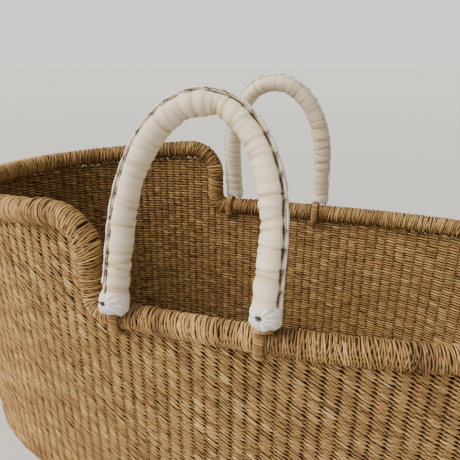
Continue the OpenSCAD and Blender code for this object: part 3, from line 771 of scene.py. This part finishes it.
class BASSINET_OT_bound_rim(bpy.types.Operator):
    """Bind the rim: a hoop, and straws wound round it turn by turn"""
    bl_idname = "bassinet.bound_rim"
    bl_label = "Bound Rim"

    def execute(self, context):
        """Two layers of turns lean different ways, so that no bare hoop shows between them."""
        scene = context.scene
        look, basket = scene.bassinet_rim, Basket(scene.bassinet_basket)
        self.hoop(basket)
        self.layer(look, basket, 15, "rim_turns", 0.0, look.lean, "bound_grass", ("rim_binding",))
        # The under layer takes a darker copy of the grass: painted shade in the gaps between the top turns.
        self.layer(look, basket, 16, "rim_under_turns", 0.55 * MM, -0.6 * look.lean, "under_turns", ())
        return {"FINISHED"}

    def hoop(self, basket):
        template = ring_template(560, 14)
        around, local_r, local_h = ring_coordinates(template)
        size = RIM_RADIUS - 1.3 * MM
        places = basket.on_rim((around / math.tau % 1) * basket.rim_length, local_r * size, local_h * size)
        move_vertices(template, places)
        adopt("rim_hoop", template, finish("straw_shadow"), "basket", ("rim_core",))

    def layer(self, look, basket, seed, name, sink, lean, grass_name, replaces):
        rng = np.random.default_rng(seed)
        turns = round(basket.rim_length / look.turn_pitch)
        order = np.arange(turns)
        template = ring_template(24, 3)
        around, local_r, local_h = ring_coordinates(template)
        draw = lambda spread: rng.normal(0, spread, (turns, 1))

        def slow(step, middle, spread):
            """A value that drifts along the rim, with a new draw every few turns."""
            knots = np.arange(0, turns + step, step)
            return np.interp(order, knots, rng.normal(middle, spread, len(knots)))

        place = (order + rng.normal(0, 0.12, turns))[:, None] * look.turn_pitch
        lean = lean + slow(30, 0, math.radians(5))
        lean = lean + rng.normal(0, math.radians(2.2), turns)
        crossing = rng.random(turns) < 1 / look.cross_every
        lean = np.where(crossing, lean + rng.choice([-1, 1], turns) * math.radians(8), lean)[:, None]
        width = 1.12 * MM * (1 + draw(0.14))
        bulge = 0.5 * MM * crossing[:, None] + draw(0.28) * MM - sink
        lump = 0.3 * MM * np.sin(around * 2 + rng.uniform(0, math.tau, (turns, 1)))
        wander = 0.3 * MM * np.sin(around * 3 + rng.uniform(0, math.tau, (turns, 1)))
        radius = RIM_RADIUS - 0.75 * MM + bulge + lump + local_r * 1.0 * MM
        run = place + local_h * width + wander - np.tan(lean) * RIM_RADIUS * np.sin(around)
        points = basket.on_rim(run, radius * np.cos(around), radius * np.sin(around))
        tone = slow(8, 0.64, 0.22) + rng.normal(0, 0.16, turns)
        laid(name, repeated(template, turns), points, tone[:, None], finish(grass_name), "basket",
             replaces)


# ---------- handles ----------

CAP_LOW = {("near", "head"): 0.006, ("near", "foot"): 0.016, ("far", "head"): 0.009, ("far", "foot"): 0.009}
LOOP_SHIFT = {("near", "head"): 0.0, ("near", "foot"): -0.004,
              ("far", "head"): -0.004, ("far", "foot"): -0.005}
KNOT_TURN = {("near", "head"): -22, ("near", "foot"): -16, ("far", "head"): -30, ("far", "foot"): -20}
SEAM_TURN = {"near": (52, 8), "far": (-14, -8)}


class Arch:
    """A handle's middle line, in the handle's own frame with the swing axis along X"""

    def __init__(self, look, side):
        self.look, self.side, self.body = look, side, f"{side}_handle"
        self.sign = SIDES[side]
        arch = np.linspace(0, math.pi, 181)
        power = 2 / look.arch_power
        x = -look.span / 2 * np.sign(np.cos(arch)) * np.abs(np.cos(arch)) ** power
        z = look.straight + (look.height - look.straight) * np.sin(arch) ** power
        x = np.concatenate([[-look.span / 2], x, [look.span / 2]])
        z = np.concatenate([[0], z, [0]])
        run = np.concatenate([[0], np.cumsum(np.hypot(np.diff(x), np.diff(z)))])
        self.total = run[-1]
        self.even = np.linspace(0, self.total, 800)
        self.x, self.z = np.interp(self.even, run, x), np.interp(self.even, run, z)
        for _ in range(20):
            for line in (self.x, self.z):
                line[1:-1] = (line[:-2] + 2 * line[1:-1] + line[2:]) / 4
        self.tx, self.tz = np.gradient(self.x), np.gradient(self.z)
        size = np.hypot(self.tx, self.tz)
        self.tx, self.tz = self.tx / size, self.tz / size
        lean = look.near_lean if side == "near" else look.far_lean
        joint = SWING[side]
        turn = math.atan2(joint["axis"][1], joint["axis"][0])
        self.matrix = (Matrix.Translation(joint["pos_m"]) @ Matrix.Rotation(turn, 4, "Z")
                       @ Matrix.Rotation(self.sign * lean, 4, "X"))

    def bend(self, run, around, radius):
        """Places round the middle line: angle 0 is away from the arch's inside, 90 away from the basket."""
        out, front = radius * np.cos(around), radius * np.sin(around)
        tx, tz = np.interp(run, self.even, self.tx), np.interp(run, self.even, self.tz)
        x = np.interp(run, self.even, self.x) - tz * out
        z = np.interp(run, self.even, self.z) + tx * out
        y = self.sign * (self.look.leg_offset + front)
        return self.place(np.stack([x, y + 0 * x, z], -1).reshape(-1, 3))

    def beside_leg(self, end, around, radius, z, shift=0.0):
        """Points round a leg, in the handle's own frame."""
        x = ENDS[end] * self.look.span / 2 + shift + radius * np.cos(around)
        y = self.sign * self.look.leg_offset + radius * np.sin(around)
        return np.stack([x + 0 * z, y + 0 * z, z], -1).reshape(-1, 3)

    def place(self, points):
        """Carries points of the handle's own frame to the basket."""
        return points @ np.array(self.matrix.to_3x3()).T + np.array(self.matrix.translation)

    def knot_angle(self, end):
        return -self.sign * math.radians(-90 + KNOT_TURN[self.side, end])

    def seam_turn(self, run):
        """Angle of the seam towards the front: it winds a little on its way over the arch."""
        start, end = SEAM_TURN[self.side]
        return np.radians(start + (end - start) * (run / self.total) + 3 * np.sin(run / 0.055))

    def draws(self, first, end):
        return np.random.default_rng(first + 2 * list(SIDES).index(self.side) + list(ENDS).index(end))


def away_from_rim(points, clear):
    """Lifts points that are too near the swing axis out to a clear distance from it."""
    reach = np.hypot(points[:, 1], points[:, 2])
    factor = np.maximum(1, clear / np.maximum(reach, 1e-6))
    return np.stack([points[:, 0], points[:, 1] * factor, points[:, 2] * factor], -1)


class BASSINET_OT_sleeves(bpy.types.Operator):
    """Cover both handles in creased leather with a whip-stitched seam along the outside"""
    bl_idname = "bassinet.sleeves"
    bl_label = "Handle Sleeves"

    def execute(self, context):
        scene = context.scene
        look = scene.bassinet_handles
        for seed, side in enumerate(SIDES, 21):
            arch, rng = Arch(look, side), np.random.default_rng(seed)
            self.sleeve(look, arch, rng)
            self.seam(look, arch, rng)
        return {"FINISHED"}

    def sleeve(self, look, arch, rng):
        bm, flat = tube(80, 300, closed_ends=True)
        around = np.arctan2(flat[:, 1], flat[:, 0])
        low = 17 * MM
        run = low + flat[:, 2] * (arch.total - 2 * low)
        marks = np.arange(low, arch.total, look.crease_pitch)
        marks = marks + rng.normal(0, 0.22, len(marks)) * look.crease_pitch
        swell = np.zeros_like(run)
        groove = np.zeros_like(run)
        for mark in marks:
            centre, reach = rng.uniform(0, math.tau), rng.uniform(0.9, 1.6)
            facing = np.clip(np.cos((around - centre) / 2) ** 2 * reach, 0.5, 1)
            slant = rng.normal(0, 2.2 * MM) * np.cos(around - centre)
            along = run - mark - slant
            fold = bump_curve(along, 0, 0.9 * MM) + 0.55 * bump_curve(along, 1.8 * MM, 2.6 * MM)
            groove += facing * fold * rng.uniform(0.25, 1.25) * (1 - 0.35 * np.cos(around))
            swell += rng.normal(0, 0.42 * MM) * bump_curve(run, mark + look.crease_pitch / 2, 7 * MM) \
                * (1 + 0.6 * np.cos(around - centre))
        groove = np.minimum(groove, 1.4)
        seam = np.angle(np.exp(1j * (around - arch.seam_turn(run))))
        opening = 0.85 + 0.3 * np.sin(run / look.stitch_pitch * math.tau)
        valley = bump_curve(seam, 0.28, 0.13) * opening + 0.5 * bump_curve(seam, -0.28, 0.05)
        radius = look.radius - 1.1 * MM * groove + swell - 1.5 * MM * valley
        radius[flat[:, 0] ** 2 + flat[:, 1] ** 2 < 0.5] = 0
        # The tone darkens the creases and the seam's valley: painted shade.
        shaped(f"{arch.side}_sleeve", bm, arch.bend(run, around, radius), finish("cream_leather"), arch.body,
               (f"{arch.body}_sleeve", f"{arch.body}_core"),
               np.clip(np.minimum(groove * 0.42, 0.5) + valley, 0, 1))

    def seam(self, look, arch, rng):
        bm, flat = tube(8, 360, closed_ends=True)
        low = 34 * MM
        run = low + flat[:, 2] * (arch.total - 2 * low)
        marks = np.arange(low + 4 * MM, arch.total - low, look.stitch_pitch)
        marks = marks + rng.normal(0, 0.14, len(marks)) * look.stitch_pitch
        nearest = np.min(np.abs(run[:, None] - marks), axis=1)
        free = np.clip(nearest / (look.stitch_pitch * 0.45), 0, 1) ** 0.7
        wide = (0.6 + 0.4 * free) * 1.9 * MM
        lift = look.radius + 0.1 * MM + 0.7 * MM * free + flat[:, 0] * 0.7 * MM
        turn = arch.seam_turn(run) + flat[:, 1] * wide / look.radius
        # The tone darkens the seam next to each stitch: painted shade where the stitch pulls it in.
        shaped(f"{arch.side}_seam", bm, arch.bend(run, turn, lift), finish("white_leather"), arch.body,
               (f"{arch.body}_seam",), 0.25 * (1 - free))
        self.stitches(look, arch, rng, marks)

    def stitches(self, look, arch, rng, marks):
        template = straw_template(1, 7, sides=6)
        share, local_y, local_z = coordinates(template).T
        share = share - 0.5
        slant = rng.normal(2.6 * MM, 0.7 * MM, (len(marks), 1))
        around = arch.seam_turn(marks)[:, None] + share * math.radians(14) + math.radians(12)
        reach = look.radius + 0.7 * MM * np.cos(share * math.pi) + local_z * 0.6 * MM
        run = marks[:, None] + share * 2 * slant + local_y * 0.6 * MM
        laid(f"{arch.side}_stitches", repeated(template, len(marks)), arch.bend(run, around, reach),
             np.zeros((len(marks), 1)), finish("dark_thong"), arch.body)


class BASSINET_OT_caps(bpy.types.Operator):
    """Close each handle's ends with a knotted leather cap that drapes over the rim"""
    bl_idname = "bassinet.caps"
    bl_label = "End Caps"

    def execute(self, context):
        scene = context.scene
        look = scene.bassinet_handles
        for side in SIDES:
            arch = Arch(look, side)
            knots = bmesh.new()
            for end in ENDS:
                self.cap(look, arch, end, arch.draws(31, end))
                self.knot(look, arch, end, knots)
            made = piece(f"{side}_knots", knots, finish("dark_thong"), arch.body,
                         (f"{arch.body}_knots",))
            set_tone(made.data, np.zeros(len(made.data.vertices)))
        return {"FINISHED"}

    def cap(self, look, arch, end, rng):
        low = CAP_LOW[arch.side, end] - 1.5 * MM
        tall = 20 * MM
        bm, flat = tube(84, 26)
        around = np.arctan2(flat[:, 1], flat[:, 0])
        share = flat[:, 2]
        off = (around - arch.knot_angle(end) + math.pi) % math.tau - math.pi
        away_x, away_z = off * look.radius, (share - 0.5) * tall
        reach = np.hypot(away_x, away_z)
        ray = np.arctan2(away_z, away_x)
        folds = 13
        pleat = np.cos(folds * ray + 1.8 * np.sin(3 * ray)) * bump_curve(reach, 9 * MM, 9 * MM)
        pinch = bump_curve(reach, 0, 3.5 * MM)
        crumple = np.sin(around * 7 + rng.uniform(0, 6)) * np.sin(share * 7 + around * 2)
        belly = 1.2 * MM * np.clip(np.sin(math.pi * share), 0, 1) ** 0.7
        radius = look.radius + 0.3 * MM + belly + 0.55 * MM * pleat - 1.1 * MM * pinch + 0.3 * MM * crumple
        tuck = np.clip(0.34 - share, 0, 1) / 0.34
        radius = radius - (3.0 * MM + 0.7 * MM * np.sin(around * 3 + rng.uniform(0, 6))) * tuck ** 2
        edge = 0.8 * MM * np.sin(around * 2 + rng.uniform(0, 6)) + 0.5 * MM * np.sin(around * 5)
        z = low + share * tall + edge * (np.abs(share - 0.5) * 2) ** 2
        points = away_from_rim(arch.beside_leg(end, around, radius, z), RIM_RADIUS + 2.3 * MM)
        # The tone darkens the pleats' hollows, the pinch under the knot and the tucked lower edge: painted shade.
        made = shaped(f"{arch.side}_{end}_end_cap", bm, arch.place(points), finish("white_leather"),
                      arch.body, (f"{arch.side}_{end}_cap",),
                      np.clip(0.3 * (0.3 - pleat) + 0.7 * pinch + 0.3 * tuck ** 2, 0, 1))
        thicken(made, 1.0 * MM, -1)

    def knot(self, look, arch, end, knots):
        turn = arch.knot_angle(end)
        out = Vector((math.cos(turn), math.sin(turn), 0))
        leg = Vector((ENDS[end] * look.span / 2, arch.sign * look.leg_offset,
                      CAP_LOW[arch.side, end] + 9.5 * MM))
        middle = leg + out * (look.radius + 1.1 * MM)
        for step in range(3):
            ball = bmesh.ops.create_icosphere(knots, subdivisions=2, radius=1.5 * MM)["verts"]
            bmesh.ops.scale(knots, verts=ball, vec=(1.15, 1.15, 0.8))
            shift = Vector((-out.y, out.x, 0)) * (step - 1) * 1.5 * MM
            place = arch.matrix @ (middle + shift + out * (0.5 * MM if step == 1 else 0))
            bmesh.ops.rotate(knots, verts=ball, matrix=Matrix.Rotation(step * 0.8, 3, "Y"))
            bmesh.ops.translate(knots, verts=ball, vec=place)


class BASSINET_OT_loops(bpy.types.Operator):
    """Wind the grass loops that hold the handles to the rim"""
    bl_idname = "bassinet.loops"
    bl_label = "Handle Loops"

    def execute(self, context):
        scene = context.scene
        look = scene.bassinet_handles
        for side in SIDES:
            arch = Arch(look, side)
            for end in ENDS:
                self.loop(look, arch, end, arch.draws(41, end))
        return {"FINISHED"}

    def loop(self, look, arch, end, rng):
        """Fine turns round a ring, then the turns that bind its neck where they show under the cap."""
        coils = 84
        template = ring_template(12, 3)
        around, local_r, local_h = ring_coordinates(template)
        half_wide, half_thick = look.loop_width / 2 - 0.6 * MM, 2.1 * MM
        wide = (half_wide + local_r * 0.7 * MM) * np.sign(np.cos(around)) * np.abs(np.cos(around)) ** 0.8
        thick = (half_thick + local_r * 0.6 * MM) * np.sin(around)
        place = (np.arange(coils) + rng.normal(0, 0.15, coils))[:, None] * math.tau / coils
        middle = look.loop_bore + 2.7 * MM
        turn = place + (local_h * 0.75 * MM + 0.35 * MM * np.cos(around)) / middle
        shift = ENDS[end] * look.span / 2 + LOOP_SHIFT[arch.side, end]
        radius = middle + thick
        points = np.stack([shift + wide + 0 * turn, radius * np.cos(turn), radius * np.sin(turn)], -1)
        laid(f"{arch.side}_{end}_loop_turns", repeated(template, coils), arch.place(points.reshape(-1, 3)),
             rng.normal(0.5, 0.22, (coils, 1)), finish("bound_grass"), arch.body,
             (f"{arch.side}_{end}_loop",))
        self.ring(look, arch, end, middle, shift)
        if CAP_LOW[arch.side, end] > 12 * MM:
            self.neck_turns(arch, end, rng)

    def ring(self, look, arch, end, middle, shift):
        template = ring_template(48, 10)
        around, local_r, local_h = ring_coordinates(template)
        radius = middle + local_r * 2.1 * MM
        wide = local_h * (look.loop_width / 2 - 0.9 * MM)
        points = np.stack([shift + wide, radius * np.cos(around), radius * np.sin(around)], -1)
        move_vertices(template, arch.place(points))
        adopt(f"{arch.side}_{end}_loop_ring", template, finish("straw_shadow"), arch.body)

    def neck_turns(self, arch, end, rng):
        turns = 3
        template = ring_template(30, 6)
        around, local_r, local_h = ring_coordinates(template)
        low = CAP_LOW[arch.side, end] - 4.0 * MM
        level = (low + np.arange(turns) * 1.7 * MM)[:, None] + local_h * 0.95 * MM + 0.8 * MM * np.cos(around)
        points = arch.beside_leg(end, around, 9.4 * MM + local_r * 0.9 * MM, level, -2 * MM)
        laid(f"{arch.side}_{end}_neck_turns", repeated(template, turns),
             arch.place(away_from_rim(points, RIM_RADIUS + 2.4 * MM)), rng.normal(0.6, 0.15, (turns, 1)),
             finish("bound_grass"), arch.body)


# ---------- mattress and stand ----------

class BASSINET_OT_mattress(bpy.types.Operator):
    """Pad the mattress: a foam slab in a fitted cotton cover"""
    bl_idname = "bassinet.mattress"
    bl_label = "Mattress"

    def execute(self, context):
        scene = context.scene
        basket = Basket(scene.bassinet_basket)
        foam_low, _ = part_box("mattress_foam")
        _, cover_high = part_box("mattress_cover")
        low, high = foam_low.z + 1 * MM, cover_high.z - 3 * MM
        inset = basket.shape.half_length - cover_high.x + 2 * MM
        bm = bmesh.new()
        bmesh.ops.create_circle(bm, cap_ends=True, segments=120, radius=1)
        turns = np.arctan2([v.co.y for v in bm.verts], [v.co.x for v in bm.verts])
        for vert, place in zip(bm.verts, basket.oval(turns, -inset)):
            vert.co = (*place, low)
        extruded(bm, high - low)
        level = [e for e in bm.edges if abs(e.verts[0].co.z - e.verts[1].co.z) < 1e-6]
        bottom = [e for e in level if e.verts[0].co.z < (low + high) / 2]
        top = [e for e in level if e.verts[0].co.z > (low + high) / 2]
        for edges, offset in ((bottom, 14 * MM), (top, 9 * MM)):
            bmesh.ops.bevel(bm, geom=edges, offset=offset, segments=4, profile=0.5, affect="EDGES",
                            material=-1)
        bmesh.ops.recalc_face_normals(bm, faces=bm.faces)
        made = piece("mattress", bm, cotton("mattress_cotton"), "basket",
                     ("mattress_foam", "mattress_cover"))
        remesh = made.modifiers.new("remesh", "REMESH")
        remesh.mode = "VOXEL"
        remesh.voxel_size = 6 * MM
        self.apply(made)
        self.puff(scene, made)
        smooth = made.modifiers.new("smooth", "SUBSURF")
        smooth.levels = smooth.render_levels = 1
        self.apply(made)
        made.data.polygons.foreach_set("use_smooth", [True] * len(made.data.polygons))
        return {"FINISHED"}

    def apply(self, made):
        """Bakes the live modifiers into the mesh."""
        depsgraph = bpy.context.evaluated_depsgraph_get()
        mesh = bpy.data.meshes.new_from_object(made.evaluated_get(depsgraph))
        made.modifiers.clear()
        made.data = mesh

    def puff(self, scene, made):
        """Lets pressure round the cover, within a few millimetres."""
        rest = coordinates(made.data)
        cloth = made.modifiers.new("cloth", "CLOTH")
        cloth.settings.use_pressure = True
        cloth.settings.uniform_pressure_force = 4
        cloth.settings.effector_weights.gravity = 0
        for step in range(1, 16):
            scene.frame_set(step)
        self.apply(made)
        scene.frame_set(1)
        shift = coordinates(made.data) - rest
        size = np.linalg.norm(shift, axis=1)
        cap = np.minimum(1, 4 * MM / np.maximum(size, 1e-9))
        move_vertices(made.data, rest + shift * cap[:, None])


class BASSINET_OT_stand(bpy.types.Operator):
    """Ease the edges of the beech stand and finish its wood, steel and rubber"""
    bl_idname = "bassinet.stand"
    bl_label = "Stand"

    def execute(self, context):
        scene = context.scene
        look = scene.bassinet_stand
        along = {"x": (1.2, 14, 14), "y": (14, 1.2, 14), "z": (14, 14, 1.2)}
        woods = {axis: beech(f"beech_{axis}", look, stretch) for axis, stretch in along.items()}
        hardware = {"steel": plain("bolt_steel", (0.52, 0.52, 0.52), (0.66, 0.66, 0.65), 90, 0.34, 1.0),
                    "rubber": plain("foot_rubber", (0.015, 0.015, 0.015), (0.035, 0.035, 0.034), 300, 0.8)}
        slots = {row["node"]: row["material_slot"] for row in frame["record"]["subparts"]}
        for name, cad in frame["nodes"].items():
            slot = slots.get(name)
            if slot == "beech":
                self.eased(name, cad, look, woods[self.grain_axis(name)])
            elif slot in hardware:
                cad.data.materials.clear()
                cad.data.materials.append(hardware[slot])
        return {"FINISHED"}

    def grain_axis(self, name):
        low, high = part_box(name)
        size = high - low
        return "xyz"[max(range(3), key=lambda i: size[i])]

    def eased(self, name, cad, look, wood):
        """A copy of a wooden part with its sharp edges taken off."""
        bm = bmesh.new()
        bm.from_mesh(cad.data)
        bmesh.ops.remove_doubles(bm, verts=bm.verts, dist=0.01 * MM)
        bmesh.ops.dissolve_limit(bm, angle_limit=math.radians(1), verts=bm.verts, edges=bm.edges)
        sharp = [e for e in bm.edges if len(e.link_faces) == 2 and e.calc_face_angle() > math.radians(32)]
        bmesh.ops.bevel(bm, geom=sharp, offset=look.edge, segments=2, profile=0.5, affect="EDGES",
                        material=-1, clamp_overlap=True)
        bmesh.ops.triangulate(bm, faces=[f for f in bm.faces if len(f.verts) > 4])
        piece(f"{name}_eased", bm, wood, NODE_BODY[name], (name,), smooth=False)


# ---------- stage ----------

class BASSINET_OT_stage(bpy.types.Operator):
    """Set the floor, the lights and the camera"""
    bl_idname = "bassinet.stage"
    bl_label = "Stage"

    def execute(self, context):
        scene = context.scene
        look = scene.bassinet_stage
        self.floor(look)
        self.sun("key", (-0.88, -0.56, 0.94), math.radians(58), 6.2, (1.0, 0.965, 0.91))
        self.sun("fill", (0.45, -0.90, 0.50), math.radians(70), 0.5, (1.0, 0.97, 0.93))
        self.world(scene)
        self.camera(scene, look)
        return {"FINISHED"}

    def put(self, name, data):
        made = bpy.data.objects.new(name, data)
        bpy.context.scene.collection.objects.link(made)
        return made

    def floor(self, look):
        bm = bmesh.new()
        bmesh.ops.create_circle(bm, cap_ends=True, segments=64, radius=60)
        mesh = mesh_of(bm, "floor")
        paper = Shader("floor_paper", 0.9, 0.1)
        away = node(paper.nodes, "ShaderNodeVectorMath", operation="LENGTH")
        share = paper.nodes.new("ShaderNodeMapRange")
        share.inputs["From Min"].default_value = 1.0
        share.inputs["From Max"].default_value = 12.0
        paper.links.new(paper.where(), away.inputs[0])
        paper.links.new(away.outputs["Value"], share.inputs["Value"])
        # The floor is painted lighter with distance, painted light, so that it meets the brighter backdrop at the
        # horizon.
        tint = paper.ramp(share.outputs["Result"], (0.0, look.floor), (1.0, darker(look.floor, 1.22)))
        mesh.materials.append(paper.finished(tint))
        self.put("floor", mesh)

    def sun(self, name, towards, softness, strength, tint):
        lamp = bpy.data.lights.new(name, "SUN")
        lamp.angle = softness
        lamp.energy = strength
        lamp.color = tint
        self.put(name, lamp).rotation_euler = Vector(towards).to_track_quat("Z", "Y").to_euler()

    def world(self, scene):
        """Soft light from all round, with the plain backdrop a little brighter than it lights."""
        world = bpy.data.worlds.new("room")
        world.use_nodes = True
        nodes, links = world.node_tree.nodes, world.node_tree.links
        soft = nodes["Background"]
        soft.inputs["Color"].default_value = (1.0, 0.98, 0.95, 1)
        soft.inputs["Strength"].default_value = 0.29
        seen = node(nodes, "ShaderNodeBackground", Color=(1.24, 1.22, 1.17, 1), Strength=1.0)
        path = nodes.new("ShaderNodeLightPath")
        mix = nodes.new("ShaderNodeMixShader")
        links.new(path.outputs["Is Camera Ray"], mix.inputs["Fac"])
        links.new(soft.outputs["Background"], mix.inputs[1])
        links.new(seen.outputs["Background"], mix.inputs[2])
        links.new(mix.outputs["Shader"], nodes["World Output"].inputs["Surface"])
        scene.world = world

    def camera(self, scene, look):
        data = bpy.data.cameras.new("camera")
        data.sensor_width = 36
        data.lens = look.lens
        data.clip_start = 0.01
        turn = (Matrix.Rotation(look.yaw, 4, "Z") @ Matrix.Rotation(math.pi / 2 - look.pitch, 4, "X")
                @ Matrix.Rotation(look.roll, 4, "Z"))
        scene.camera = self.put("camera", data)
        scene.camera.matrix_world = Matrix.Translation(look.camera) @ turn


STEPS = (BASSINET_OT_stage, BASSINET_OT_wall_body, BASSINET_OT_outer_weave, BASSINET_OT_inner_weave,
         BASSINET_OT_woven_base, BASSINET_OT_bound_rim, BASSINET_OT_sleeves, BASSINET_OT_caps,
         BASSINET_OT_loops, BASSINET_OT_mattress, BASSINET_OT_stand)
GROUPS = {"bassinet_basket": BasketShape, "bassinet_weave": WeaveLook, "bassinet_rim": RimLook,
          "bassinet_handles": HandleLook, "bassinet_stand": StandLook, "bassinet_stage": StageLook}


class BASSINET_PT_sidebar(bpy.types.Panel):
    """Lists the bassinet's steps"""
    bl_idname = "BASSINET_PT_sidebar"
    bl_label = "Bassinet"
    bl_space_type = "VIEW_3D"
    bl_region_type = "UI"
    bl_category = "Bassinet"

    def draw(self, context):
        for step in STEPS:
            self.layout.operator(step.bl_idname)


def register():
    for group in GROUPS.values():
        bpy.utils.register_class(group)
    for step in STEPS:
        bpy.utils.register_class(step)
    bpy.utils.register_class(BASSINET_PT_sidebar)
    for name, group in GROUPS.items():
        setattr(bpy.types.Scene, name, PointerProperty(type=group))


def unregister():
    for name in GROUPS:
        delattr(bpy.types.Scene, name)
    bpy.utils.unregister_class(BASSINET_PT_sidebar)
    for step in reversed(STEPS):
        bpy.utils.unregister_class(step)
    for group in reversed(GROUPS.values()):
        bpy.utils.unregister_class(group)


def main():
    register()
    for step in STEPS:
        area, name = step.bl_idname.split(".")
        getattr(getattr(bpy.ops, area), name)()


if __name__ == "__main__":
    main()
